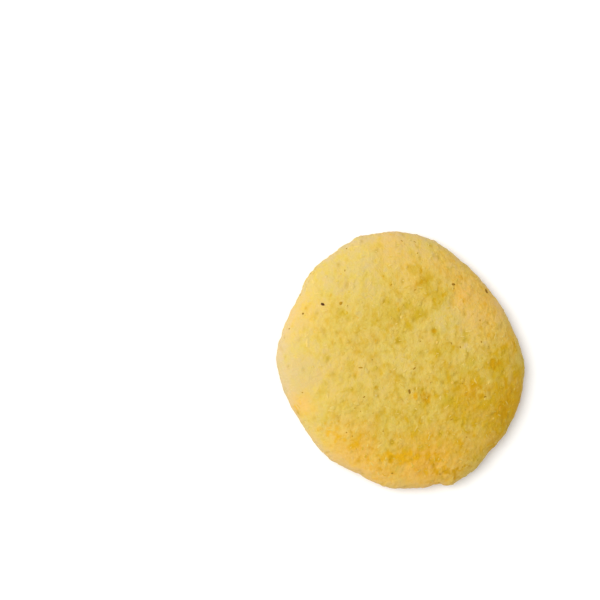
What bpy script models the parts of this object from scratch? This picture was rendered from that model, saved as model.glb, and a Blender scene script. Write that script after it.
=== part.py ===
"""A round coconut cookie that was baked flat on a tray, in metres, +Z up.

The cookie is one piece: a low dome with soft shoulders that rolls under to a flat foot.
Its outline is nearly round, a little oval, with the swellings and hollows that shaping
by hand leaves in dough. Shreds of coconut lift the crust, and a few pores dent it.
The origin is the middle of the underside.
"""

import math
from random import Random

import bmesh
import bpy
import numpy as np
from mathutils import Vector, noise

# Driving dimensions, in metres unless a comment says otherwise
MEAN_RADIUS = 0.0349  # half the width, averaged round the edge
CROWN_HEIGHT = 0.0114  # from the underside to the top of the dome
WAIST_HEIGHT = 0.0036  # height of the widest contour
FOOT_INSET = 0.0024  # from the widest contour in to the flat foot
CROWN_FULLNESS = 3.2  # 2 is an ellipse, and more gives a flatter crown with tighter shoulders

# Slow waves of the outline: crests round the edge, height, degrees to a crest
OUTLINE_WAVES = (
    (2, 0.0016, 128),
    (3, 0.0004, 93),
    (4, 0.0008, 7),
)

# Marks of shaping by hand along the edge: degrees round it, half width in degrees, rise
EDGE_MARKS = (
    (1, 4, 0.0003),
    (17, 12, -0.0008),
    (49, 2, 0.0002),
    (77, 12, 0.0005),
    (100, 2, -0.0002),
    (110, 3, 0.0006),
    (134, 9, 0.0011),
    (176, 9, 0.0007),
    (206, 11, -0.0005),
    (230, 9, 0.0009),
    (248, 5, -0.0003),
    (270, 2, -0.0005),
    (275, 4, -0.0006),
    (285, 4, -0.0010),
    (291, 4, 0.0006),
    (314, 7, -0.0008),
    (330, 7, 0.0004),
    (330, 2, -0.0006),
)
MARK_REACH = 6  # a mark fades from the edge inwards by this power of the share of the radius

# Uneven crust: width of a wave, height of it
CRUST_WAVES = (
    (0.021, 0.00040),
    (0.0085, 0.00020),
    (0.0034, 0.00012),
)
CRUST_FADE = 0.0020  # the crust's relief dies out over this height above the tray

# Coconut shreds just under the crust, and the pores between them
RELIEF_SEED = 7
SHRED_COUNT = 190
SHRED_LENGTH = (0.0018, 0.0038)
SHRED_WIDTH = (0.0011, 0.0016)
SHRED_RISE = (0.00014, 0.00034)
PORE_COUNT = 60
PORE_WIDTH = (0.0012, 0.0022)
PORE_DEPTH = (0.00012, 0.00030)
CRATER_PLACE = (0.0044, -0.0099)  # the one deep pore, where a crumb came away
CRATER_WIDTH = 0.0024
CRATER_DEPTH = 0.00055

# Mesh
CROWN_CELLS = 56  # cells along each side of the square grid that becomes the crown
FOOT_ROWS = 4  # rows from the widest contour down to the foot
SECTION_SAMPLES = 300

CRUST_COLOUR = (0.74, 0.53, 0.13, 1.0)
CRUST_ROUGHNESS = 0.72

GOLDEN_ANGLE = math.pi * (3 - math.sqrt(5))


def clear_scene():
    for obj in list(bpy.data.objects):
        bpy.data.objects.remove(obj)


def outline_radius(angle):
    """Radius of the widest contour, without the marks of shaping."""
    radius = MEAN_RADIUS
    for crests, height, degrees in OUTLINE_WAVES:
        radius += height * math.cos(crests * (angle - math.radians(degrees)))
    return radius


def edge_marks(angle):
    """How far the marks of shaping push the widest contour out."""
    rise = 0.0
    for degrees, half_width, height in EDGE_MARKS:
        away = math.remainder(angle - math.radians(degrees), math.tau)
        rise += height * math.exp(-((away / math.radians(half_width)) ** 2))
    return rise


def crown_height(share):
    """Height of the dome at a share of the radius."""
    bulge = max(0.0, 1 - share**CROWN_FULLNESS)
    return WAIST_HEIGHT + (CROWN_HEIGHT - WAIST_HEIGHT) * math.sqrt(bulge)


def even_shares():
    """A function from 0 to 1 along the crown's section to the share of the radius there."""
    turn = np.linspace(0, math.pi / 2, SECTION_SAMPLES)
    share = np.sin(turn) ** (2 / CROWN_FULLNESS)
    height = (CROWN_HEIGHT - WAIST_HEIGHT) * np.cos(turn)
    steps = np.hypot(np.diff(share) * MEAN_RADIUS, np.diff(height))
    length = np.concatenate([[0], np.cumsum(steps)])
    return lambda along: float(np.interp(along * length[-1], length, share))


def square_to_disc(x, y):
    """(distance from the centre, angle) of a point of a square, spread evenly over a disc."""
    reach = max(abs(x), abs(y))
    if reach == 0:
        return 0.0, 0.0
    if abs(x) >= abs(y):
        return reach, math.pi / 4 * (y / x) + (math.pi if x < 0 else 0)
    return reach, math.pi / 2 - math.pi / 4 * (x / y) + (math.pi if y < 0 else 0)


def polar(radius, angle, height):
    return Vector((radius * math.cos(angle), radius * math.sin(angle), height))


def lay_crown(dough):
    """The dome: a square grid laid over the disc, out to the widest contour."""
    bmesh.ops.create_grid(dough, x_segments=CROWN_CELLS, y_segments=CROWN_CELLS, size=1)
    share_along = even_shares()
    for vert in dough.verts:
        along, angle = square_to_disc(vert.co.x, vert.co.y)
        share = share_along(along)
        radius = share * outline_radius(angle) + share**MARK_REACH * edge_marks(angle)
        vert.co = polar(radius, angle, crown_height(share))


def roll_under(dough):
    """The edge below the widest contour, row by row, and the flat foot that closes it."""
    edge = [e for e in dough.edges if e.is_boundary]
    for row in range(1, FOOT_ROWS + 1):
        turn = math.pi / 2 * row / FOOT_ROWS
        inset = FOOT_INSET * (1 - math.cos(turn))
        height = WAIST_HEIGHT * (1 - math.sin(turn))
        made = bmesh.ops.extrude_edge_only(dough, edges=edge)["geom"]
        for vert in (g for g in made if isinstance(g, bmesh.types.BMVert)):
            angle = math.atan2(vert.co.y, vert.co.x)
            radius = outline_radius(angle) + edge_marks(angle) - inset
            vert.co = polar(radius, angle, height)
        edge = [g for g in made if isinstance(g, bmesh.types.BMEdge) and g.is_boundary]
    bmesh.ops.contextual_create(dough, geom=edge)
    bmesh.ops.recalc_face_normals(dough, faces=dough.faces)


def scatter(count, draw):
    """Places spread evenly over the crown, each a little off its spot."""
    spacing = MEAN_RADIUS * math.sqrt(math.pi / count)
    for i in range(count):
        place = polar(MEAN_RADIUS * math.sqrt((i + 0.5) / count), i * GOLDEN_ANGLE, 0)
        yield place + spacing * Vector((draw.uniform(-0.4, 0.4), draw.uniform(-0.4, 0.4), 0))


def make_marks():
    """(place, length, width, direction, rise) of each shred and pore."""
    draw = Random(RELIEF_SEED)
    marks = [(Vector((*CRATER_PLACE, 0)), CRATER_WIDTH, CRATER_WIDTH, 0, -CRATER_DEPTH)]
    for place in scatter(SHRED_COUNT, draw):
        length, width = draw.uniform(*SHRED_LENGTH), draw.uniform(*SHRED_WIDTH)
        marks.append((place, length, width, draw.uniform(0, math.pi), draw.uniform(*SHRED_RISE)))
    for place in scatter(PORE_COUNT, draw):
        width = draw.uniform(*PORE_WIDTH)
        marks.append((place, width, width, 0, -draw.uniform(*PORE_DEPTH)))
    return marks


def mark_relief(place, marks):
    """Rise of the shreds and pores over this place, which is a bump or dent of each."""
    rise = 0.0
    for centre, length, width, direction, height in marks:
        x, y = place.x - centre.x, place.y - centre.y
        if x * x + y * y > length * length:
            continue
        along = (x * math.cos(direction) + y * math.sin(direction)) / (length / 2)
        across = (y * math.cos(direction) - x * math.sin(direction)) / (width / 2)
        rise += height * math.exp(-(along**2) - across**2)
    return rise


def roughen(dough):
    """Lifts and dents the crust along its normals, and leaves the foot flat."""
    marks = make_marks()
    dough.normal_update()
    moves = []
    for vert in dough.verts:
        rise = mark_relief(vert.co, marks) * max(0.0, vert.normal.z)
        for width, height in CRUST_WAVES:
            rise += height * noise.noise(vert.co / width)
        moves.append(vert.normal * rise * min(1.0, vert.co.z / CRUST_FADE))
    for vert, move in zip(dough.verts, moves):
        vert.co += move


def centre(dough):
    """Puts the middle of the cookie's box over the origin."""
    for axis in (0, 1):
        places = [vert.co[axis] for vert in dough.verts]
        middle = (min(places) + max(places)) / 2
        for vert in dough.verts:
            vert.co[axis] -= middle


def crust_material():
    material = bpy.data.materials.new("baked_dough")
    material.use_nodes = True
    shader = material.node_tree.nodes["Principled BSDF"]
    shader.inputs["Base Color"].default_value = CRUST_COLOUR
    shader.inputs["Roughness"].default_value = CRUST_ROUGHNESS
    shader.inputs["Metallic"].default_value = 0.0
    return material


def make_cookie(collection):
    dough = bmesh.new()
    lay_crown(dough)
    roll_under(dough)
    roughen(dough)
    centre(dough)
    mesh = bpy.data.meshes.new("cookie")
    dough.to_mesh(mesh)
    dough.free()
    mesh.shade_smooth()
    mesh.materials.append(crust_material())
    collection.objects.link(bpy.data.objects.new("cookie", mesh))


clear_scene()
parts = bpy.data.collections.new("coconut_cookie")
bpy.context.scene.collection.children.link(parts)
make_cookie(parts)
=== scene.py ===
import math
import random

import bmesh
import bpy
import numpy as np
from mathutils import Matrix, Vector, noise
from mathutils.bvhtree import BVHTree
from mathutils.kdtree import KDTree


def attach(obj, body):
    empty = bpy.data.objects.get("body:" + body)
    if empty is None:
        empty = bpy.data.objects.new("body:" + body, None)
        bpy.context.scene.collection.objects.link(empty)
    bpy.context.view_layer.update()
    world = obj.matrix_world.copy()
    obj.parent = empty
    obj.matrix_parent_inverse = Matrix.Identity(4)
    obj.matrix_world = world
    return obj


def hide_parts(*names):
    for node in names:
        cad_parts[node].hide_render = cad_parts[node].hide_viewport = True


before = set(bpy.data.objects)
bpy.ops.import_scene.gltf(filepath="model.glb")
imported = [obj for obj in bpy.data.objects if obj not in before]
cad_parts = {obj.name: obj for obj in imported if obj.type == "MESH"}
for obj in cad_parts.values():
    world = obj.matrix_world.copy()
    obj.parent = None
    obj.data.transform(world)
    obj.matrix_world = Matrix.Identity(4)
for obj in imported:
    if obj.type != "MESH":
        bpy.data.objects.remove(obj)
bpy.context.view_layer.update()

mm = 0.001
goldenAngle = math.pi * (3 - math.sqrt(5))


def linearColour(hexColour):  # sRGB hex to the linear values that a shader works in
    shares = [int(hexColour[i : i + 2], 16) / 255 for i in (1, 3, 5)]
    return (*[s / 12.92 if s <= 0.04045 else ((s + 0.055) / 1.055) ** 2.4 for s in shares], 1.0)


def addNode(tree, kind, inputs, output=0, **settings):  # an input is a value, or a socket to link from
    node = tree.nodes.new("ShaderNode" + kind)
    for name, value in settings.items():
        setattr(node, name, value)
    sockets = {socket.identifier: socket for socket in node.inputs}
    for name, value in inputs.items():
        if isinstance(value, bpy.types.NodeSocket):
            tree.links.new(value, sockets[name])
        else:
            sockets[name].default_value = value
    return node.outputs[output] if len(node.outputs) else None


def emptyMaterial(name):
    material = bpy.data.materials.new(name)
    material.use_nodes = True
    material.node_tree.nodes.clear()
    return material


# The camera stands nearly above the cookie, which lies right of and below the picture's middle
view = {
    "target": (-0.02834, 0.01672, 0.0),  # what the middle of the picture shows, on the floor
    "distance": 0.3955,
    "tilt": 10,  # degrees from straight above
    "towards": 190,  # degrees round the cookie, where the camera stands
    "lens": 85,
    "sensor": 36,
}


def placeCamera():
    tilt, towards = math.radians(view["tilt"]), math.radians(view["towards"])
    back = Vector((math.sin(tilt) * math.cos(towards), math.sin(tilt) * math.sin(towards), math.cos(tilt)))
    right = Vector((0, 1, 0)).cross(back).normalized()
    turn = Matrix((right, back.cross(right), back)).transposed()
    lens = bpy.data.cameras.new("camera")
    lens.lens, lens.sensor_width = view["lens"], view["sensor"]
    lens.clip_start, lens.clip_end = 0.01, 10
    camera = bpy.data.objects.new("camera", lens)
    place = Vector(view["target"]) + back * view["distance"]
    camera.matrix_world = Matrix.Translation(place) @ turn.to_4x4()
    bpy.context.scene.collection.objects.link(camera)
    bpy.context.scene.camera = camera


placeCamera()
print("camera placed")


# Where the crust's colour changes, in mm: across, up, radius, strength
patches = {
    "cream": (  # pale dry dough on the left shoulder, and a few floury spots
        (-37, -4, 13, 1.0), (-31, 15, 8, 0.4), (-9, 32, 10, 0.5), (-18, 22, 8, 0.3),
        (-23, 5, 3, 0.25), (-24, -20, 7, 0.4), (-20, -29, 6, 0.6), (2, -36, 6, 0.7),
        (17, 12, 6, 0.35), (-12, -34, 5, 0.4), (3, 33, 5, 0.3), (16.3, 4.0, 1.2, 0.8),
        (23.3, -6.0, 1.0, 0.8), (-11, 11, 4, 0.3), (3, 27, 8, 0.25), (7, 10, 4, 0.3),
        (8.3, -8.6, 2.4, 0.5), (-4.3, 9.5, 1.3, 0.5), (1.6, 8.5, 1.0, 0.5), (22.6, 5.7, 1.0, 0.8),
        (10.7, -20.7, 0.9, 0.6), (-20.9, 20.7, 2.2, 0.8), (-13, -29.5, 1.6, 0.7),
        (-0.3, -14.3, 1.0, 0.6), (1.3, -23.7, 1.0, 0.5), (5, 1.8, 1.2, 0.5), (-17.6, 13.8, 0.9, 0.6),
        (20, -23, 3.5, 0.3), (-11.7, 27.1, 1.8, 0.6), (10.2, -25.5, 1.0, 0.7),
        (17.3, -18.7, 1.3, 0.7), (20, -18.4, 1.3, 0.7), (13.3, -4.8, 1.0, 0.7),
        (23.1, -10.1, 1.0, 0.8), (21.8, -26.0, 3.5, 0.4), (32.5, 0, 3.2, 0.5), (27.5, 11, 3, 0.4),
        (22.5, 4.4, 1.2, 0.8), (-2.8, 16.4, 1.4, 0.8), (3.4, 15.0, 1.3, 0.6), (-1.1, -29.9, 1.5, 0.7),
        (7.4, 28.4, 1.5, 0.6), (9.5, -10.8, 1.3, 0.6), (15.2, 8.6, 1.1, 0.7), (26.3, 15.5, 1.6, 0.6),
        (10.0, -19.0, 0.9, 0.6), (-8.0, -26.6, 1.9, 0.6), (11.1, 21.2, 1.3, 0.8),
        (6.9, 21.2, 1.1, 0.6), (-21.3, -4.6, 3.2, 0.25), (-25.2, -10.6, 2.6, 0.3),
    ),
    "gold": (  # deeper yellow, baked longer
        (31, -13, 14, 1.0), (14, -12, 8, 0.7), (2, -26, 11, 0.6), (24, -25, 10, 0.55),
        (28, 2, 7, 0.4), (6, 20, 7, 0.4), (-1, 11, 7, 0.3), (-14, -22, 7, 0.4), (-14, 9, 6, 0.3),
        (-5, -12, 6, 0.3), (8, 0, 6, 0.35), (-24, -16, 7, 0.3), (-22, 11, 6, 0.15), (6, 21, 3.5, 0.3),
    ),
    "warm": (  # peachy dough round the bottom and the upper right
        (4, -31, 11, 0.9), (-16, -26, 9, 0.8), (23, 15, 9, 0.8), (-9, -32, 7, 0.8), (11, -27, 8, 0.5),
        (14, 25, 7, 0.5), (-4, 34, 6, 0.4), (-29.3, -11.9, 3.4, 0.8), (33, 6, 5, 0.4),
        (24, -23, 6, 0.4), (33, -12, 8, 0.4), (18, -9, 4, 0.5), (-20, -3, 8, 0.2), (2, 27, 8, 0.4),
        # the patch at -29, 13 is painted shade: a peachier tint where a neighbouring cookie shaded the
        # upper-left shoulder
        (-29, 13, 6, 0.3), (15.7, 17.3, 2.6, 0.9),
    ),
    "toast": (  # golden-orange, where the coconut in the crust caught more heat
        (-15.1, -22.8, 2.6, 1.0), (-4.8, -27.0, 2.6, 0.9), (7.0, -29.1, 4.0, 0.65),
        (0.9, -27.0, 2.4, 0.8), (12.5, -31.5, 3.6, 0.5), (15.7, 17.3, 3.0, 0.5),
        (-29.6, -12.6, 2.2, 0.5), (-20.8, -18.5, 2.8, 1.0), (-19.5, -21.1, 2.2, 0.6),
        (-4.1, 33.7, 3.0, 0.5), (22.7, 14.9, 2.2, 0.5), (25.2, 9.9, 1.8, 0.5), (1.7, -10.0, 1.4, 1.0),
        (-2.6, -26.9, 1.8, 0.9), (-11.0, -27.9, 0.9, 0.7), (-4.4, -31.0, 1.0, 0.6),
        (5.6, -31.2, 1.1, 0.6), (11.3, -29.5, 1.1, 0.8),
    ),
    "amber": (  # a deeper golden brown on the side that was nearest the heat
        (17.8, -9.0, 3.4, 0.9), (24.6, -1.2, 2.2, 0.8), (27.4, -13.2, 3.0, 1.0),
        (29.0, -10.3, 3.6, 0.9), (28.2, -16.4, 2.6, 0.6), (4.3, -10.0, 2.2, 1.0),
        (-5.0, -27.2, 1.8, 0.9), (12.5, -31.5, 3.6, 0.5), (22.2, -8.2, 1.8, 0.6),
        (9.0, -27.0, 2.0, 0.4), (7.4, 8.1, 0.9, 0.9), (-8.9, -7.4, 1.1, 0.7), (8.0, -29.0, 1.2, 0.8),
        (8.6, -30.8, 1.0, 0.3), (19.7, -9.5, 1.2, 0.9), (10.8, -30.4, 1.2, 0.6),
        (14.3, 24.8, 0.9, 0.7), (31.9, -5.2, 0.8, 0.7), (7.8, 31.3, 0.8, 0.5),
        (14.2, -31.3, 1.6, 1.0), (17.6, -29.8, 1.4, 0.9), (21.8, -5.1, 1.0, 0.9),
        (17.7, -11.5, 1.8, 1.0), (27.4, -6.0, 1.6, 0.9), (24.0, 9.6, 1.4, 1.0),
        (13.5, -20.6, 1.2, 0.8), (4.2, 21.8, 1.8, 0.95), (3.4, 24.2, 1.5, 0.8), (8.2, 17.8, 1.6, 0.7),
    ),
    "mustard": (  # a darker olive yellow, where the dough is dense and moist
        (4.7, 22.4, 2.2, 0.85), (-5.1, 12.3, 2.5, 0.7), (-0.1, 9.3, 1.2, 0.8), (3.6, 12.8, 2.0, 0.6),
        (-9.1, 10.9, 2.6, 0.4), (16.9, 6.8, 1.4, 0.4), (-8.9, -7.3, 1.1, 0.8),
        (-23.2, -6.6, 1.1, 0.3), (11.0, -11.3, 1.8, 0.9), (15.3, -3.4, 2.4, 0.4),
        (-16.3, -2.2, 1.0, 0.6), (-2.8, 5.4, 1.0, 0.9), (-9.4, -2.4, 0.9, 0.8), (7.4, 8.1, 1.2, 0.9),
        (1.6, -14.2, 1.0, 0.8), (-3.4, -14.4, 0.9, 0.7), (9.2, -20.2, 0.9, 1.0),
        (9.1, -23.0, 1.0, 0.8), (6.0, -16.6, 0.9, 0.8), (-0.6, -24.2, 0.9, 0.6),
        (3.8, -23.8, 1.2, 0.8), (16.2, 7.5, 0.9, 0.8), (16.2, 5.6, 0.9, 0.7), (8.1, 2.2, 1.3, 0.8),
        (21.1, -5.9, 1.0, 0.8), (12.1, -6.6, 1.0, 0.6), (15.7, -13.1, 0.9, 0.6),
        (15.8, -16.7, 0.9, 0.6), (-23.3, -8.4, 1.2, 0.6), (-16.8, 11.5, 0.9, 0.8),
        (-18.6, 12.8, 1.0, 0.8), (-16.4, -0.9, 0.8, 0.8), (-28.3, 8.5, 0.8, 0.4),
        (-7.5, 31.8, 0.8, 0.6), (8.5, 17.2, 2.0, 0.55), (-6.2, 16.3, 1.0, 0.7),
        (-0.6, 14.8, 1.3, 0.9), (1.6, 29.6, 1.2, 0.5), (2.0, 24.6, 1.7, 0.7), (-22.5, 0.8, 1.0, 0.8),
        # the patch at 3.9, -8.2 is painted shade above the raised crumb at 4.4, -10.1
        (2.1, -5.8, 1.2, 0.8), (3.9, -8.2, 1.1, 0.8), (18.0, -0.2, 1.3, 0.8), (3.9, -12.6, 1.0, 0.7),
        (-17.1, -7.9, 1.1, 0.8),
    ),
    "even": (  # where the colour changes least
        (-24, -2, 14, 1.0), (-18, 22, 8, 0.5),
    ),
}
patchEdge = {  # how the patches end
    "shift": 20,  # of the noise in the first kind, which gives it a pattern of its own
    "shiftStep": 7,  # to the next kind's
    "waves": ((2.6 * mm, 1.1 * mm, 0), (1.1 * mm, 0.7 * mm, 5)),  # width, height, shift of each
    "fullWaves": 2,  # radius in mm from which a patch has these in full
    "drift": ((9 * mm, 0.25, 9),),  # slower waves, their height in radii of the patch
    "fullDrift": 6,  # radius in mm from which a patch has these in full
    "fade": (1.6, 0.1),  # in radii, where it is gone and where it is full
    "heights": (0.6 * mm, 2.5 * mm),  # it fades in between these heights above the tray
}
bake = {  # how brown the crust is, from 0 to 1
    "dough": 0.57,
    "cream": -0.45,  # what this patch and the next two add
    "gold": 0.54,
    "mustard": 0.2,
    "rim": -0.25,
    "rimHeights": (7.5 * mm, 4.5 * mm),  # where the paler rim starts and is full
    "mottle": ((6.0 * mm, 0.13, 40), (3.0 * mm, 0.10, 49)),  # width, height, shift of soft swings
    "gaps": 0.2,  # how much browner the gaps between grains are than their tops
    "calm": 0.55,  # how much smoother the cream shoulder is
    "even": 0.2,  # how much more even the colour is where it changes least
}
tray = {  # the browning by the hot tray
    "reach": 2.9 * mm,  # how high it climbs the rim
    "waves": ((10 * mm, 1.2 * mm, 80), (4 * mm, 0.8 * mm, 80), (1.6 * mm, 0.5 * mm, 80)),  # of its edge
    "middle": (34 * mm, 18 * mm),  # radii between which the underside gets paler
    "middlePaler": 0.25,
    "pitsPaler": 0.7,  # how much paler the pits are, which the tray didn't touch
    "mottle": ((6 * mm, 0.16, 90), (1.8 * mm, 0.14, 95)),
}
crustShares = (  # the numbers that the crust's material reads
    "browned", "lively", "warm", "toast", "amber", "mustard", "pore", "tray",
)


def smoothStep(low, high, value):
    share = np.clip((value - low) / (high - low), 0, 1)
    return share * share * (3 - 2 * share)


def noiseOver(points, width, shift):  # soft noise with waves this wide, a new pattern for each shift
    start = Vector((shift, shift * 0.7, -shift))
    return np.array([noise.noise(Vector(p) / width + start) for p in points])


def wavesOver(points, waves, shift=0):  # noise of several widths and heights added up
    return sum(height * noiseOver(points, width, shift + own) for width, height, own in waves)


def grainsOver(points, width):  # round grains packed side by side, from 0 in a gap to 1 on top
    edge = 0.8  # how far a grain reaches, in widths
    middles = np.array([noise.voronoi(Vector(p) / width)[0][0] for p in points])
    return 1 - np.clip(middles / edge, 0, 1) ** 2


def patchShare(points, kind):  # how much there is at each point of this kind of patch
    shift = patchEdge["shift"] + patchEdge["shiftStep"] * list(patches).index(kind)
    ragged = wavesOver(points, patchEdge["waves"], shift)
    drift = wavesOver(points, patchEdge["drift"], shift)
    share = np.zeros(len(points))
    for x, y, radius, strength in patches[kind]:
        away = np.hypot(points[:, 0] - x * mm, points[:, 1] - y * mm)
        away = (away + ragged * min(1, radius / patchEdge["fullWaves"])) / (radius * mm)
        away += drift * min(1, radius / patchEdge["fullDrift"])
        share = 1 - (1 - share) * (1 - strength * smoothStep(*patchEdge["fade"], away))
    return share * smoothStep(*patchEdge["heights"], points[:, 2])


def trayShare(points):  # how brown the tray made it, all over the underside and a little way up the rim
    share = smoothStep(tray["reach"], 0, points[:, 2] + wavesOver(points, tray["waves"]))
    middle = smoothStep(*tray["middle"], np.hypot(points[:, 0], points[:, 1]))
    mottled = 1 - tray["middlePaler"] * middle + wavesOver(points, tray["mottle"])
    return np.clip(share * mottled, 0, 1)


def crustAt(points):  # what the crust is like at each point
    shares = {kind: patchShare(points, kind) for kind in patches}
    shares["lively"] = (1 - bake["calm"] * shares["cream"]) * (1 - bake["even"] * shares["even"])
    browned = bake["dough"] + sum(bake[kind] * shares[kind] for kind in ("cream", "gold", "mustard"))
    browned += bake["rim"] * smoothStep(*bake["rimHeights"], points[:, 2])
    shares["browned"] = browned + wavesOver(points, bake["mottle"]) * shares["lively"]
    shares["pore"] = np.zeros(len(points))
    shares["tray"] = trayShare(points)
    return shares


# Small pieces half sunk in the crust, each kind one joined mesh of a few shapes used over and over.
# Those with a place of their own are in mm and degrees: across, up, length, width, angle, tone.
crumbs = {  # crumbs of the dough itself, in the colours of the crust round them
    "placed": ((4.4, -10.1, 2.5, 1.6, 75, 0.0),),
    "count": 900,
    "base": -1.0,  # how likely each stays
    "chance": {"lively": 2.0},  # and how much likelier by what the crust is like there
    "width": (0.5 * mm, 1.2 * mm),
    "length": (1.0, 1.6),  # in widths
    "thickness": (0.22, 0.32),  # in widths
    "sunk": (0.65, 0.88),  # share of the thickness that is below the crust
    "lean": 0.05,  # how far it tips off the crust's own slope
    "tone": (-0.15, 0.15),  # how much less or more baked than the crust round it
    "follow": {},  # how far the tone follows what the crust is like
    "shapes": 6,  # how many different ones are made
    "seed": 31,
}
shreds = {  # fine dried coconut baked into the crust
    "count": 620,
    "base": -1.0,
    "chance": {"lively": 2.0},
    "width": (0.28 * mm, 0.55 * mm),
    "length": (1.8, 4.5),
    "thickness": (0.3, 0.42),
    "sunk": (0.6, 0.88),
    "lean": 0.05,
    "tone": (-0.55, 0.25),  # from its first colour, at 0, to its second
    "follow": {"browned": 1.0},
    "mound": 0.2,  # dough drawn up round it, in widths
    "shapes": 8,
    "seed": 47,
    "tones": ("#D2B664", "#BE9C28"),
    "roughness": 0.6,
    "glow": 0.2,  # how much light goes into it and comes out again
}
toasted = {  # coconut that browned in the oven, most of it where the crust is golden
    "placed": (
        (1.8, -10.1, 1.3, 1.0, 20, 0.9), (-15.4, -0.9, 1.6, 0.5, 95, 0.2), (9.2, -21.6, 2.2, 0.6, 92, 0.2),
        (-17.3, 12.8, 1.1, 0.9, 60, 0.1), (26.7, -13.5, 1.4, 0.9, 80, 1.0), (18.2, -8.6, 1.3, 0.8, 30, 0.8),
    ),
    "count": 420,
    "base": -0.35,
    "chance": {"browned": 0.45, "toast": 0.6, "warm": 0.2},
    "width": (0.40 * mm, 0.80 * mm),
    "length": (1.2, 2.6),
    "thickness": (0.25, 0.35),
    "sunk": (0.7, 0.92),
    "lean": 0.05,
    "tone": (-0.1, 0.4),
    "follow": {"toast": 0.6, "warm": 0.4},
    "mound": 0.15,
    "shapes": 6,
    "seed": 53,
    "tones": ("#BE9C20", "#C8941C"),
    "roughness": 0.6,
    "glow": 0.1,
}
husk = {  # scraps of the coconut's brown skin
    "placed": (
        (-23.6, 15.3, 1.2, 0.8, 155, 0.0), (-28.8, 12.8, 0.7, 0.55, 20, 0.5),
        (13.2, 21.0, 1.2, 0.8, 10, 0.6), (23.6, 19.2, 1.4, 1.0, 120, 0.5),
        (0.2, -8.6, 1.5, 0.7, 105, 0.6), (-32.4, 8.6, 0.5, 0.4, 40, 0.6),
        (-18.8, 15.6, 1.2, 0.8, 40, 1.0), (-13.4, -2.0, 1.6, 0.45, 0, 1.0),
        (-29.1, -8.8, 0.5, 0.4, 0, 0.9),
    ),
    "count": 90,
    "base": -0.7,
    "chance": {"lively": 1.3},
    "width": (0.25 * mm, 0.45 * mm),
    "length": (1.0, 2.6),
    "thickness": (0.3, 0.45),
    "sunk": (0.5, 0.7),
    "lean": 0.03,
    "tone": (0.75, 1.1),
    "follow": {},
    "shapes": 5,
    "seed": 61,
    "tones": ("#482602", "#A67C16"),
    "roughness": 0.7,
    "glow": 0.0,
}
glints = {  # grains of sugar and bright crumbs of coconut
    "placed": (
        (-2.0, 12.0, 1.5, 0.8, 80, 0.0), (23.3, -6.2, 1.4, 0.9, 70, 0.1), (2.9, -11.6, 0.9, 0.6, 120, 0.6),
        (27.2, 10.5, 1.0, 0.6, 100, 0.2), (16.5, -8.7, 0.8, 0.6, 20, 0.7), (12.4, -6.2, 1.0, 0.9, 30, 0.6),
        (8.9, -27.4, 0.9, 0.7, 60, 0.8), (24.8, -16.3, 0.7, 0.5, 40, 0.4), (-4.0, 5.1, 0.9, 0.7, 50, 0.1),
        (7.9, 4.9, 1.2, 0.9, 10, 0.3), (22.1, -10.7, 1.2, 0.9, 45, 0.5), (20.0, -20.4, 0.8, 0.6, 80, 0.6),
        (20.6, 15.7, 1.0, 0.7, 60, 0.6), (-5.9, -26.9, 1.0, 0.8, 90, 0.8),
    ),
    "count": 60,
    "base": 0.1,
    "chance": {"browned": 0.5},
    "width": (0.40 * mm, 0.70 * mm),
    "length": (1.0, 2.0),
    "thickness": (0.4, 0.5),
    "sunk": (0.6, 0.85),
    "lean": 0.1,
    "tone": (0.2, 0.7),
    "follow": {"browned": 0.5},
    "shapes": 4,
    "seed": 67,
    "tones": ("#D2B256", "#CAA642"),
    "roughness": 0.5,
    "glow": 0.2,
}
smallPieces = {  # by the name of each joined mesh
    "crumbs": crumbs,
    "coconutShreds": shreds,
    "toastedCoconut": toasted,
    "coconutHusk": husk,
    "sugarGrains": glints,
}
scatter = {  # how things are spread over the crust
    "reach": 36 * mm,  # just past the edge
    "aside": 0.5,  # how far each may be off its place in the even pattern, in spacings
    "rimShare": 0.16,  # how many more lie along the rim, where few are met from above
    "rimHeights": (0.8 * mm, 6.0 * mm),
    "lowest": 0.6 * mm,
}
farUp, farOut = 50 * mm, 100 * mm  # where rays start, well clear of the cookie


def groundUnder(tree, x, y):  # the crust under a place, seen from above
    place, normal, _, _ = tree.ray_cast(Vector((x, y, farUp)), Vector((0, 0, -1)))
    return place, normal


def rimAt(tree, angle, height):  # the rim at a height, seen from the side
    outward = Vector((math.cos(angle), math.sin(angle), 0))
    place, normal, _, _ = tree.ray_cast(outward * farOut + Vector((0, 0, height)), -outward)
    return place, normal


def scatterOn(tree, count, draw):  # places spread evenly all over the crust
    spacing = scatter["reach"] * math.sqrt(math.pi / count)
    aside = scatter["aside"]
    found = []
    for i in range(count):
        radius, angle = scatter["reach"] * math.sqrt((i + 0.5) / count), i * goldenAngle
        x = radius * math.cos(angle) + draw.uniform(-aside, aside) * spacing
        y = radius * math.sin(angle) + draw.uniform(-aside, aside) * spacing
        found.append(groundUnder(tree, x, y))
    for _ in range(int(count * scatter["rimShare"])):
        found.append(rimAt(tree, draw.uniform(0, math.tau), draw.uniform(*scatter["rimHeights"])))
    return [(place, normal) for place, normal in found if place is not None and place.z > scatter["lowest"]]


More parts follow.
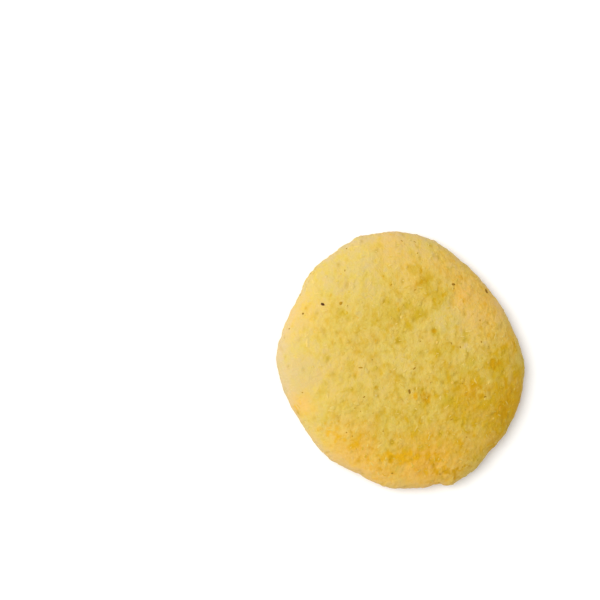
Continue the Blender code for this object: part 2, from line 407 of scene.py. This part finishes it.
def spotsOf(kind, tree):  # place, normal, angle, size and tone of each piece of a kind
    draw = random.Random(kind["seed"])
    found = []
    for x, y, length, width, degrees, tone in kind.get("placed", ()):
        size = (length * mm, width * mm, draw.uniform(*kind["thickness"]) * width * mm)
        found.append((*groundUnder(tree, x * mm, y * mm), math.radians(degrees), size, tone))
    places = scatterOn(tree, kind["count"], draw)
    shares = crustAt(np.array([place for place, _ in places]))
    chance = kind["base"] + sum(weight * shares[share] for share, weight in kind["chance"].items())
    deeper = np.zeros(len(places))
    for share, weight in kind["follow"].items():
        deeper += weight * shares[share]
    for (place, normal), likely, more in zip(places, chance, deeper):
        if draw.random() < likely:
            width = draw.uniform(*kind["width"])
            size = (width * draw.uniform(*kind["length"]), width, width * draw.uniform(*kind["thickness"]))
            angle, tone = draw.uniform(0, math.pi), draw.uniform(*kind["tone"]) + more
            found.append((place, normal, angle, size, tone))
    return found


# The dough's mesh: the CAD solid with an even fine mesh, and its crumb, shreds and pores on it
dough = {
    "voxel": 0.332 * mm,  # size of the mesh's cells, which keeps it under 200,000 triangles
    "smoothing": 15,  # rounds of smoothing that take out the facets
    "seed": 3,
    "bumps": ((2.4 * mm, 0.068 * mm, 0), (1.2 * mm, 0.055 * mm, 11)),  # width, height, shift of waves
    "grains": (1.1 * mm, 0.15 * mm),  # width, height of the crumb packed in the crust
    "packed": (7 * mm, 60),  # width, shift of the waves that say where it shows
    "packedFade": (-0.4, 0.3),  # the waves where it starts to show, and where it is full
    "shreds": 500,  # coconut that lifts the crust and stays covered
    "shredLength": (1.0 * mm, 2.6 * mm),
    "shredWidth": (0.45 * mm, 0.75 * mm),
    "shredRise": (0.03 * mm, 0.12 * mm),
    "pores": 300,
    "poreWidth": (0.6 * mm, 1.1 * mm),
    "poreLength": (1.0, 2.4),  # in widths
    "poreAngle": (90, 35),  # in degrees: up the picture, and how far most of them stray from that
    "poreDepth": (0.02 * mm, 0.15 * mm),
    "moundSize": (1.3, 2.4),  # of the dough drawn up round a shred, in the shred's length and width
    "placedPores": (  # in mm and degrees: across, up, length, width, angle, depth
        # the first two lie beside the raised crumb at 4.4, -10.1, and their darker colour is painted shade
        # of that crumb
        (5.5, -10.6, 2.4, 0.8, 75, 0.15), (3.9, -8.1, 1.5, 0.9, 65, 0.15),
        (9.2, -19.9, 2.0, 0.9, 85, 0.15), (7.3, 8.2, 1.9, 1.1, 85, 0.15),
        (13.6, -6.2, 1.5, 0.9, 40, 0.15), (16.1, 7.9, 1.3, 0.8, 90, 0.08),
        (16.2, 12.6, 1.0, 0.8, 30, 0.12), (0.7, -3.6, 1.2, 0.8, 170, 0.12),
        (16.0, 5.4, 1.6, 1.0, 80, 0.14), (-3.2, 7.9, 1.2, 0.9, 150, 0.12),
        (-22.5, 0.2, 1.9, 0.9, 80, 0.15), (-2.9, 5.1, 1.6, 1.2, 30, 0.15),
        (15.7, -17.8, 1.4, 0.9, 75, 0.14),
    ),
    "footFade": 0.9 * mm,  # relief grows to its full height over this height above the floor
    "roughRim": (1.2, 3.2 * mm, 5.6 * mm),  # how much rougher, in full up to a height, gone by another
    "highest": 0.22 * mm,  # where bumps meet, they don't rise past this
    "rimMarks": 520,  # crumbs and pores of the rim
    "rimHeights": (0.4 * mm, 4.0 * mm),
    "rimWidth": (0.6 * mm, 1.3 * mm),
    "rimLength": (1, 2),  # in widths
    "rimRise": (-0.16 * mm, 0.11 * mm),
    "rimCracks": 34,  # small cracks along the rim, where the dough spread
    "crackHeights": (0.9 * mm, 2.4 * mm),
    "crackWidth": (0.6 * mm, 0.9 * mm),
    "crackDepth": (0.12 * mm, 0.26 * mm),
    "crackCuts": (2, 4),  # each crack is so many short cuts end to end
    "cutLength": 1.8 * mm,
    "cutStep": 1.1 / 35,  # the turn from one cut to the next, which is 1.1 mm at the rim's 35 mm
    "cutWander": 0.35 * mm,  # how far up or down the next one starts
    "pits": 420,  # air bubbles on the underside
    "pitReach": 33 * mm,
    "pitWidth": (0.35 * mm, 1.8 * mm),
    "pitPower": 4,  # the higher it is, the more of them are small
    "pitLength": (1, 2),  # in widths
    "pitDepth": 0.16,  # in widths
    "deepPit": 0.3 * mm,  # a pit this deep is as pale as they get
    "foot": 0.05 * mm,  # what is lower than this is the flat underside
}


def mergedCopy(name, source):  # the frame's node is loose triangles
    shape = bmesh.new()
    shape.from_mesh(source.data)
    bmesh.ops.remove_doubles(shape, verts=shape.verts, dist=0.001 * mm)
    mesh = bpy.data.meshes.new(name)
    shape.to_mesh(mesh)
    shape.free()
    piece = bpy.data.objects.new(name, mesh)
    bpy.context.scene.collection.objects.link(piece)
    return piece


def applyModifiers(piece):
    graph = bpy.context.evaluated_depsgraph_get()
    finished = bpy.data.meshes.new_from_object(piece.evaluated_get(graph), depsgraph=graph)
    piece.modifiers.clear()
    previous, piece.data = piece.data, finished
    bpy.data.meshes.remove(previous)
    finished.name = piece.name


def refine(piece):  # an even, fine mesh of the same form, without the facets
    remesh = piece.modifiers.new("even", "REMESH")
    remesh.mode, remesh.voxel_size = "VOXEL", dough["voxel"]
    smooth = piece.modifiers.new("soft", "SMOOTH")
    smooth.factor, smooth.iterations = 0.5, dough["smoothing"]
    applyModifiers(piece)


def pointsOf(mesh, what="co"):
    values = np.empty(len(mesh.vertices) * 3, np.float32)
    mesh.vertices.foreach_get(what, values)
    return values.reshape(-1, 3).astype(float)


def treeOf(mesh):
    return BVHTree.FromPolygons([v.co for v in mesh.vertices], [p.vertices for p in mesh.polygons])


def storeShare(mesh, name, values):  # one number for each point, which a material reads
    mesh.attributes.new(name, "FLOAT", "POINT").data.foreach_set("value", values.astype(np.float32))


def alongSurface(normal, angle):  # two directions along the surface, the first at this angle from above
    along = Vector((math.cos(angle), math.sin(angle), 0))
    along = (along - normal * along.dot(normal)).normalized()
    return along, normal.cross(along)


def pressMarks(points, marks):  # how far long or round bumps rise over each point
    near = KDTree(len(points))
    for i, point in enumerate(points):
        near.insert(point, i)
    near.balance()
    rise = np.zeros(len(points))
    for place, normal, angle, length, width, height in marks:
        along, across = alongSurface(normal, angle)
        found = [index for _, index, _ in near.find_range(place, length)]
        away = points[found] - np.array(place)
        u = away @ np.array(along) / (length / 2)
        v = away @ np.array(across) / (width / 2)
        rise[found] += height * np.exp(-(u**2) - v**2)
    return rise


def chooseMarks(tree):  # covered shreds and pores of the crust
    draw = random.Random(dough["seed"])
    shredMarks = [
        (place, normal, draw.uniform(0, math.pi), draw.uniform(*dough["shredLength"]),
         draw.uniform(*dough["shredWidth"]), draw.uniform(*dough["shredRise"]))
        for place, normal in scatterOn(tree, dough["shreds"], draw)
    ]
    pores = []
    for place, normal in scatterOn(tree, dough["pores"], draw):
        width = draw.uniform(*dough["poreWidth"])
        stretch, depth = draw.uniform(*dough["poreLength"]), draw.uniform(*dough["poreDepth"])
        angle = math.radians(draw.gauss(*dough["poreAngle"]))
        pores.append((place, normal, angle, width * stretch, width, -depth))
    for x, y, length, width, degrees, depth in dough["placedPores"]:
        ground = groundUnder(tree, x * mm, y * mm)
        pores.append((*ground, math.radians(degrees), length * mm, width * mm, -depth * mm))
    return shredMarks, pores


def moundsUnder(name):  # dough drawn up round each shred of this kind
    longer, wider = dough["moundSize"]
    mounds = []
    for place, normal, angle, (length, width, _), _ in spots[name]:
        rise = smallPieces[name]["mound"] * width
        mounds.append((place, normal, angle, length * longer, width * wider, rise))
    return mounds


def chooseRimMarks(tree):  # what makes the rim rougher than the dome
    draw = random.Random(dough["seed"] + 1)
    marks = []
    for _ in range(dough["rimMarks"]):
        place, normal = rimAt(tree, draw.uniform(0, math.tau), draw.uniform(*dough["rimHeights"]))
        width = draw.uniform(*dough["rimWidth"])
        angle, length = draw.uniform(0, math.pi), width * draw.uniform(*dough["rimLength"])
        marks.append((place, normal, angle, length, width, draw.uniform(*dough["rimRise"])))
    for _ in range(dough["rimCracks"]):
        towards, height = draw.uniform(0, math.tau), draw.uniform(*dough["crackHeights"])
        width, depth = draw.uniform(*dough["crackWidth"]), draw.uniform(*dough["crackDepth"])
        for _ in range(draw.randint(*dough["crackCuts"])):
            place, normal = rimAt(tree, towards, height)
            marks.append((place, normal, towards + math.pi / 2, dough["cutLength"], width, -depth))
            towards += dough["cutStep"]
            height += draw.uniform(-dough["cutWander"], dough["cutWander"])
    return marks


def choosePits():  # air bubbles that the tray pressed flat round their rims
    draw = random.Random(dough["seed"])
    pits = []
    narrow, wide = dough["pitWidth"]
    for _ in range(dough["pits"]):
        radius, angle = dough["pitReach"] * math.sqrt(draw.random()), draw.uniform(0, math.tau)
        width = narrow + (wide - narrow) * draw.random() ** dough["pitPower"]
        place = Vector((radius * math.cos(angle), radius * math.sin(angle), 0))
        turned, length = draw.uniform(0, math.pi), width * draw.uniform(*dough["pitLength"])
        pits.append((place, Vector((0, 0, -1)), turned, length, width, width * dough["pitDepth"]))
    return pits


def shapeCrust(piece, marks):  # the crumb, shreds and pores in the surface
    points, normals = pointsOf(piece.data), pointsOf(piece.data, "normal")
    rise = pressMarks(points, marks) + wavesOver(points, dough["bumps"])
    packed = smoothStep(*dough["packedFade"], noiseOver(points, *dough["packed"]))
    width, height = dough["grains"]
    rise += height * packed * (grainsOver(points, width) - 0.5)
    lively = 1 - bake["calm"] * patchShare(points, "cream")
    rougher, full, gone = dough["roughRim"]
    rise *= smoothStep(0, dough["footFade"], points[:, 2]) * lively
    rise *= 1 + rougher * smoothStep(gone, full, points[:, 2])
    rise = np.where(rise > 0, dough["highest"] * np.tanh(rise / dough["highest"]), rise)
    onFoot = points[:, 2] < dough["foot"]
    sunkFoot = pressMarks(points, choosePits()) * onFoot
    points += normals * rise[:, None]
    points[:, 2] = np.where(onFoot, sunkFoot, np.maximum(points[:, 2], 0))
    piece.data.vertices.foreach_set("co", points.astype(np.float32).ravel())
    piece.data.update()
    return smoothStep(0, dough["deepPit"], sunkFoot)


def colourCrust(mesh, pores, pitted):  # the numbers that colour the dough
    points = pointsOf(mesh)
    shares = crustAt(points)
    deepest = dough["poreDepth"][1]
    # the pores' olive colour, darker the deeper they are: partly their own colour, partly painted shade in
    # the dents
    shades = [(*pore[:5], min(1, -pore[5] / deepest) ** 2) for pore in pores]  # the deepest are the darkest
    darkened = pressMarks(points, shades) * shares["lively"]
    shares["pore"] = np.clip(darkened, 0, 1)
    shares["tray"] *= 1 - tray["pitsPaler"] * pitted
    gaps = 0.5 - grainsOver(points, dough["grains"][0])
    shares["browned"] += bake["gaps"] * gaps * shares["lively"]
    for name in crustShares:
        storeShare(mesh, name, shares[name])
    mesh.shade_smooth()


cookieDough = mergedCopy("cookieDough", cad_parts["cookie"])
refine(cookieDough)
dome = treeOf(cookieDough.data)
spots = {name: spotsOf(kind, dome) for name, kind in smallPieces.items()}
coveredShreds, pores = chooseMarks(dome)
mounds = moundsUnder("coconutShreds") + moundsUnder("toastedCoconut")
pitted = shapeCrust(cookieDough, coveredShreds + pores + mounds + chooseRimMarks(dome))
colourCrust(cookieDough.data, pores, pitted)
crust = treeOf(cookieDough.data)
print("dough modelled:", len(cookieDough.data.polygons), "faces")


# The dough's finish
doughFinish = {
    "crust": ("#C3AC7C", "#C9AF56", "#BC9614"),  # from the least baked to the most
    "warmCrust": ("#D2AE6F", "#D7AA4E", "#CD9515"),  # the same where the dough is peachy
    "patterns": {  # width of the waves, stretch along Y, detail, roughness, shift
        "blots": (1.7 * mm, 1.6, 2.0, 0.4, 4.0),
        "tint": (4.0 * mm, 1.0, 1.0, 0.5, 7.0),
        "grain": (0.6 * mm, 1.0, 2.0, 0.6, 5.0),  # coarser than real flour and sugar, which wouldn't show
    },
    "blotWaves": (0.47, 0.87),  # the waves that darken the crust, which leaves the rest even
    "blotSwing": (-0.08, 0.43),  # how much browner those make it
    "blotted": ("toast", "amber"),  # the coats that follow the same waves
    "blotting": 2.2,  # how closely
    "coats": (  # laid over the crust in turn: by what, from which value to which, how strong, colour
        ("tint", 0.5, 1.0, 0.45, "#CFA963"),  # a pink cast
        ("tint", 0.5, 0.0, 0.45, "#C0AE48"),  # a green cast
        ("mustard", 0.0, 1.0, 0.6, "#B79C22"),
        # the pores' olive colour, darker the deeper the pore: partly their own colour, partly painted shade
        ("pore", 0.0, 1.0, 0.8, "#A6850C"),
        ("toast", 1.6, 2.2, 0.9, "#CE9C10"),
        ("amber", 1.6, 2.2, 0.9, "#B98A02"),
        ("tray", 0.0, 0.5, 0.8, "#C9912F"),  # the golden edge of the tray's browning
        ("tray", 0.4, 1.0, 0.9, "#9F6A2A"),  # the brown underside
    ),
    "grainWaves": (0.3, 0.7),  # from the bottom of the grain to its tops
    "roughness": (0.84, 0.68),  # at the bottom of it, and on its tops
    "grainHeight": 0.2 * mm,
    "specular": 0.12,  # dry flour hardly shines
    "glow": 0.12,  # how much light goes into it and comes out again
    "glowDepth": 0.5 * mm,
}


def bakedDough():  # shortcrust baked dry: matt, a little translucent, with fine flour and sugar grain
    look = doughFinish
    material = emptyMaterial("bakedDough")
    tree = material.node_tree
    place = addNode(tree, "TexCoord", {}, output=3)
    shares = {name: addNode(tree, "Attribute", {}, output=2, attribute_name=name) for name in crustShares}
    waves = {}
    for name, (width, stretch, detail, roughness, shift) in look["patterns"].items():
        scale = (1 / width, 1 / (width * stretch), 1 / width)
        spot = addNode(tree, "Mapping", {"Vector": place, "Location": (shift,) * 3, "Scale": scale})
        inputs = {"Vector": spot, "Scale": 1.0, "Detail": detail, "Roughness": roughness}
        waves[name] = addNode(tree, "TexNoise", inputs)
    low, high = look["blotWaves"]
    less, more = look["blotSwing"]
    inputs = {"Value": waves["blots"], "From Min": low, "From Max": high, "To Min": less, "To Max": more}
    swing = addNode(tree, "MapRange", inputs)
    inputs = {"Value": swing, "Value_001": shares["lively"], "Value_002": shares["browned"]}
    browned = addNode(tree, "Math", inputs, operation="MULTIPLY_ADD")
    crusts = []
    for tints in (look["crust"], look["warmCrust"]):
        colour = linearColour(tints[0])
        for step, tint in enumerate(tints[1:]):
            inputs = {"Value": browned, "From Min": step / 2, "From Max": (step + 1) / 2}
            share = addNode(tree, "MapRange", inputs)
            inputs = {"Factor_Float": share, "A_Color": colour, "B_Color": linearColour(tint)}
            colour = addNode(tree, "Mix", inputs, output=2, data_type="RGBA")
        crusts.append(colour)
    inputs = {"Factor_Float": shares["warm"], "A_Color": crusts[0], "B_Color": crusts[1]}
    colour = addNode(tree, "Mix", inputs, output=2, data_type="RGBA")
    amounts = {**shares, **waves}
    for name in look["blotted"]:
        inputs = {"Value": waves["blots"], "Value_001": look["blotting"], "Value_002": shares[name]}
        amounts[name] = addNode(tree, "Math", inputs, operation="MULTIPLY_ADD")
    for name, start, full, strength, tint in look["coats"]:
        inputs = {"Value": amounts[name], "From Min": start, "From Max": full, "To Max": strength}
        share = addNode(tree, "MapRange", inputs)
        inputs = {"Factor_Float": share, "A_Color": colour, "B_Color": linearColour(tint)}
        colour = addNode(tree, "Mix", inputs, output=2, data_type="RGBA")
    low, high = look["grainWaves"]
    dull, smooth = look["roughness"]
    inputs = {"Value": waves["grain"], "From Min": low, "From Max": high, "To Min": dull, "To Max": smooth}
    surface = {
        "Base Color": colour,
        "Roughness": addNode(tree, "MapRange", inputs),
        "IOR": 1.45,
        "Specular IOR Level": look["specular"],
        "Subsurface Weight": look["glow"],
        "Subsurface Radius": (1.0, 0.6, 0.25),
        "Subsurface Scale": look["glowDepth"],
    }
    inputs = {"Height": waves["grain"], "Strength": 1.0, "Distance": look["grainHeight"]}
    surface["Normal"] = addNode(tree, "Bump", inputs)
    addNode(tree, "OutputMaterial", {"Surface": addNode(tree, "BsdfPrincipled", surface)})
    return material


doughMaterial = bakedDough()
cookieDough.data.materials.append(doughMaterial)
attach(cookieDough, "root")
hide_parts("cookie")
print("dough finished")


# The small pieces, laid on the finished crust
grainForm = {  # a crumb, a scrap of husk or a grain of sugar, in its own width
    "lumpHeight": 0.35,
    "lumpsAcross": 2.5,
    "variety": 50,  # how far apart in the noise the lumps of different ones may lie
    "below": 0.12,  # how far below its middle it is cut off flat
    "merge": 0.16,  # corners nearer than this become one, which keeps it to about 50 faces
}
sliverForm = {  # a shred of coconut, in its own length and width
    "sides": 6,
    "cuts": 3,  # rings of corners between its ends
    "slim": (0.0, 0.4),  # how much thinner it gets towards its ends
    "bow": (-0.3, 0.3),
    "kinks": (  # of each ring
        (0.65, 1.1),  # its width
        (-0.2, 0.2),  # how far aside it lies
        (-0.1, 0.05),  # how far up
        (-0.8, 0.8),  # how slanting it lies
    ),
    "slant": 0.25,  # how much a slanting ring shifts along the shred
    "bowMiddle": 0.4,  # keeps a bowed one over its place
    "thinnest": 0.4,  # how thick a ring of no width would be
    "endDrop": 0.15,  # how far its ends bend down into the crust
}
crease = 25  # edges sharper than this many degrees stay sharp


def grainShape(draw):  # a lumpy low dome of unit size, closed below
    shape = bmesh.new()
    bmesh.ops.create_icosphere(shape, subdivisions=2, radius=0.5)
    shift = Vector((draw.random(), draw.random(), draw.random())) * grainForm["variety"]
    for vert in shape.verts:
        vert.co *= 1 + grainForm["lumpHeight"] * noise.noise(vert.co * grainForm["lumpsAcross"] + shift)
    everything = shape.verts[:] + shape.edges[:] + shape.faces[:]
    cut = {"plane_co": (0, 0, -grainForm["below"]), "plane_no": (0, 0, -1), "clear_outer": True}
    bmesh.ops.bisect_plane(shape, geom=everything, **cut)
    bmesh.ops.remove_doubles(shape, verts=shape.verts, dist=grainForm["merge"])
    bmesh.ops.holes_fill(shape, edges=[e for e in shape.edges if e.is_boundary])
    return shape


def sliverShape(draw):  # a torn strip of unit size, kinked and thinner towards its ends
    shape = bmesh.new()
    lying = Matrix.Rotation(math.pi / 2, 4, "Y") @ Matrix.Rotation(math.pi / 2, 4, "Z")
    tube = {"cap_ends": True, "segments": sliverForm["sides"], "radius1": 0.5, "radius2": 0.5, "depth": 1.0}
    bmesh.ops.create_cone(shape, matrix=lying, **tube)
    along = [e for e in shape.edges if e.verts[0].co.x * e.verts[1].co.x < 0]
    bmesh.ops.subdivide_edges(shape, edges=along, cuts=sliverForm["cuts"])
    slim, bow = draw.uniform(*sliverForm["slim"]), draw.uniform(*sliverForm["bow"])
    lastRing = sliverForm["cuts"] + 1
    rings = [[draw.uniform(*kink) for kink in sliverForm["kinks"]] for _ in range(lastRing + 1)]
    for vert in shape.verts:
        wide, aside, lift, skew = rings[round((vert.co.x + 0.5) * lastRing)]
        reach = (2 * vert.co.x) ** 2
        wide *= 1 - slim * reach
        vert.co.x += sliverForm["slant"] * skew * vert.co.y
        vert.co.y = vert.co.y * wide + aside + bow * (reach - sliverForm["bowMiddle"])
        thick = sliverForm["thinnest"] + (1 - sliverForm["thinnest"]) * wide
        vert.co.z = vert.co.z * thick + lift - sliverForm["endDrop"] * reach
    return shape


def stampShapes(shapes, middles, axes):  # a copy of one of the shapes at each middle, along its axes
    points, faces, owners, count = [], [], [], 0
    for number, shape in enumerate(shapes):
        bmesh.ops.triangulate(shape, faces=shape.faces)
        shape.verts.index_update()
        corners = np.array([vert.co for vert in shape.verts])
        sides = np.array([[vert.index for vert in face.verts] for face in shape.faces])
        shape.free()
        mine = np.arange(number, len(middles), len(shapes))
        points.append((corners @ axes[mine] + middles[mine][:, None]).reshape(-1, 3))
        starts = count + np.arange(len(mine)) * len(corners)
        faces.append((sides + starts[:, None, None]).reshape(-1, 3))
        owners.append(np.repeat(mine, len(corners)))
        count += len(points[-1])
    return np.concatenate(points), np.concatenate(faces), np.concatenate(owners)


def layPieces(name, makeShape, material):
    kind = smallPieces[name]
    draw = random.Random(kind["seed"])
    middles, axes = [], []
    for place, normal, angle, size, _ in spots[name]:
        place = crust.ray_cast(place + normal * mm, -normal)[0] or place
        lean = Vector([draw.uniform(-kind["lean"], kind["lean"]) for _ in range(3)])
        normal = (normal + lean).normalized()
        along, across = alongSurface(normal, angle)
        middles.append(place + normal * size[2] * (0.5 - draw.uniform(*kind["sunk"])))
        axes.append([list(side * length) for side, length in zip((along, across, normal), size)])
    shapes = [makeShape(draw) for _ in range(kind["shapes"])]
    middles = np.array(middles)
    points, faces, owners = stampShapes(shapes, middles, np.array(axes))
    points[:, 2] = np.maximum(points[:, 2], 0)
    mesh = bpy.data.meshes.new(name)
    mesh.from_pydata(points.tolist(), [], faces.tolist())
    mesh.materials.append(material)
    mesh.shade_smooth()
    mesh.set_sharp_from_angle(angle=math.radians(crease))
    tones = np.array([tone for *_, tone in spots[name]])
    shares = crustAt(middles)
    shares["tone"] = np.clip(tones, 0, 1)
    shares["browned"] += tones
    for share in (*crustShares, "tone"):
        storeShare(mesh, share, shares[share][owners])
    piece = bpy.data.objects.new(name, mesh)
    bpy.context.scene.collection.objects.link(piece)
    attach(piece, "root")
    print(name, "laid:", len(middles), "pieces,", len(faces), "triangles")


def twoTones(name, kind):  # dry flecks between two colours, by their own tone
    first, second = kind["tones"]
    material = emptyMaterial(name)
    tree = material.node_tree
    inputs = {
        "Factor_Float": addNode(tree, "Attribute", {}, output=2, attribute_name="tone"),
        "A_Color": linearColour(first),
        "B_Color": linearColour(second),
    }
    surface = {
        "Base Color": addNode(tree, "Mix", inputs, output=2, data_type="RGBA"),
        "Roughness": kind["roughness"],
        "IOR": 1.45,
        "Specular IOR Level": 0.2,
        "Subsurface Weight": kind["glow"],
        "Subsurface Radius": (1.0, 0.7, 0.4),
        "Subsurface Scale": 0.3 * mm,
    }
    addNode(tree, "OutputMaterial", {"Surface": addNode(tree, "BsdfPrincipled", surface)})
    return material


coconut = twoTones("driedCoconut", shreds)  # ground and dried: pale, dull and a little translucent
brownedCoconut = twoTones("toastedCoconut", toasted)  # browned by the oven: dull gold, less translucent
skin = twoTones("coconutHusk", husk)  # the nut's own brown skin: dark, dull and opaque
sugar = twoTones("sugarGrains", glints)  # sugar crystals coated with flour: pale, with a soft glint
layPieces("crumbs", grainShape, doughMaterial)
layPieces("coconutShreds", sliverShape, coconut)
layPieces("toastedCoconut", sliverShape, brownedCoconut)
layPieces("coconutHusk", grainShape, skin)
layPieces("sugarGrains", grainShape, sugar)


# The floor and the light
studio = {
    "floor": "#FAF9F7",
    "floorSize": 3.0,
    "world": 0.68,
    "keyPower": 12.0,
    "keySize": 0.9,
    "keyPlace": (-0.68, 0.20, 0.86),
}


def paintedBoard():  # flat white paint on board: matt, with no shine that shows
    material = emptyMaterial("paintedBoard")
    tree = material.node_tree
    surface = {"Base Color": linearColour(studio["floor"]), "Roughness": 0.9, "Specular IOR Level": 0.1}
    addNode(tree, "OutputMaterial", {"Surface": addNode(tree, "BsdfPrincipled", surface)})
    return material


def layFloor():
    shape = bmesh.new()
    bmesh.ops.create_grid(shape, x_segments=1, y_segments=1, size=studio["floorSize"])
    mesh = bpy.data.meshes.new("floor")
    shape.to_mesh(mesh)
    shape.free()
    mesh.materials.append(paintedBoard())
    floor = bpy.data.objects.new("floor", mesh)
    bpy.context.scene.collection.objects.link(floor)


def hangLight(name, place, size, power):  # a round soft light that faces the cookie
    lamp = bpy.data.lights.new(name, "AREA")
    lamp.shape, lamp.size, lamp.energy = "DISK", size, power
    light = bpy.data.objects.new(name, lamp)
    turn = Vector(place).to_track_quat("Z", "Y").to_matrix().to_4x4()
    light.matrix_world = Matrix.Translation(place) @ turn
    bpy.context.scene.collection.objects.link(light)


def lightRoom():
    world = bpy.data.worlds.new("studio")
    world.use_nodes = True
    tree = world.node_tree
    tree.nodes.clear()
    sky = addNode(tree, "Background", {"Color": (1, 1, 1, 1), "Strength": studio["world"]})
    addNode(tree, "OutputWorld", {"Surface": sky})
    bpy.context.scene.world = world
    bpy.context.scene.view_settings.view_transform = "Standard"
    hangLight("key", studio["keyPlace"], studio["keySize"], studio["keyPower"])


layFloor()
lightRoom()
print("floor and light set")
